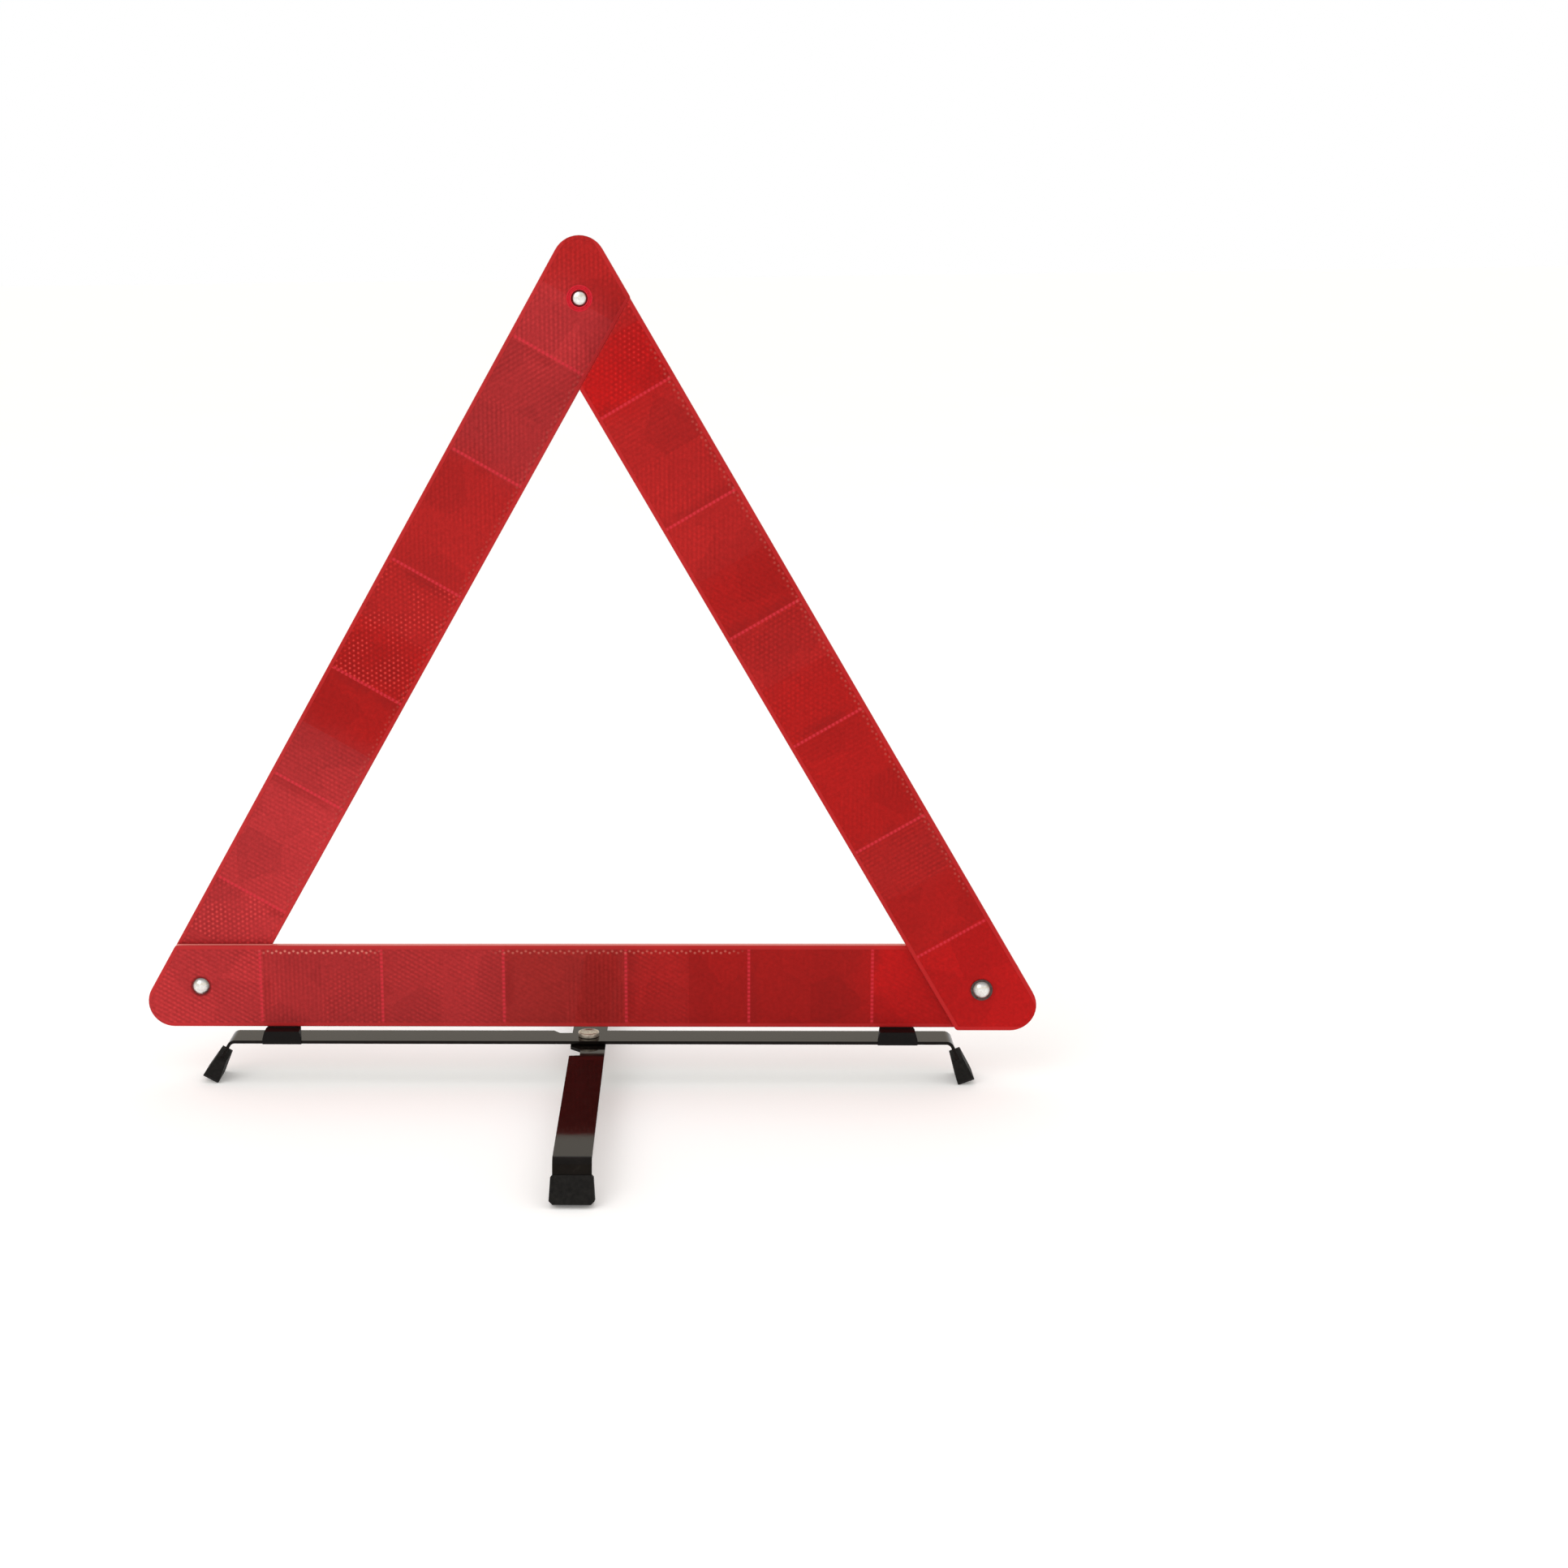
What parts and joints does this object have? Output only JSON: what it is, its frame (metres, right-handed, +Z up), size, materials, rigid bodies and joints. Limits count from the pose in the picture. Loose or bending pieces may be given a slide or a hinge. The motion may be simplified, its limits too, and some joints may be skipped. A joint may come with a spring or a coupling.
{
  "type": "warning triangle",
  "caption": "Folding road warning triangle: red retroreflector arms hinged on rivets, on a steel cross stand with a swivelling leg strip and rubber feet.",
  "frame": {"origin": "on the floor, at the centre of the object's box with the triangle open and the stand crossed", "axes": "+X along the triangle's width to the right as seen from its front, +Y towards its back, +Z up"},
  "size_m": [0.4316, 0.2758, 0.4041],
  "materials": {
    "front_lens": "glossy, prismatic",
    "back_lens": "glossy, prismatic",
    "ring": "glossy",
    "bright_rivet": "bright",
    "centre_rivet": "nickel plated",
    "zinc": "zinc plated",
    "dark_washer": "matte",
    "nylon": "matte",
    "black_paint": "gloss black",
    "clip_plastic": "satin black",
    "rubber": "matte black"
  },
  "bodies": {
    "stand": {"base_front_lens": "front_lens", "base_back_lens": "back_lens", "left_pivot_rivet": "bright_rivet", "left_spacer_washer": "nylon", "left_rear_washer": "zinc", "right_pivot_rivet": "bright_rivet", "right_spacer_washer": "nylon", "right_front_washer": "dark_washer", "cross_strip": "black_paint", "left_clip": "clip_plastic", "right_clip": "clip_plastic", "clip_rivets": "zinc", "centre_rivet": "centre_rivet", "centre_spacer": "nylon", "spring_washer": "zinc", "end_washer": "zinc", "left_foot": "rubber", "right_foot": "rubber"},
    "left_arm": {"left_front_lens": "front_lens", "left_back_lens": "back_lens", "top_snap_stud": "bright_rivet", "top_snap_ring": "ring", "top_snap_retainer": "zinc"},
    "right_arm": {"right_front_lens": "front_lens", "right_back_lens": "back_lens"},
    "swivel_leg": {"swivel_strip": "black_paint", "front_foot": "rubber", "rear_foot": "rubber"}
  },
  "joints": [
    {"name": "left_arm_fold", "type": "hinge", "parent": "stand", "child": "left_arm", "pos_m": [-0.18949, 0.0332, 0.0474], "axis": [0, 1, 0], "range_deg": [0, 60]},
    {"name": "right_arm_fold", "type": "hinge", "parent": "stand", "child": "right_arm", "pos_m": [0.18949, 0.0332, 0.0474], "axis": [0, -1, 0], "range_deg": [0, 60]},
    {"name": "leg_swivel", "type": "hinge", "parent": "stand", "child": "swivel_leg", "pos_m": [0, 0.0332, 0.0187], "axis": [0, 0, -1], "range_deg": [0, 90]}
  ]
}
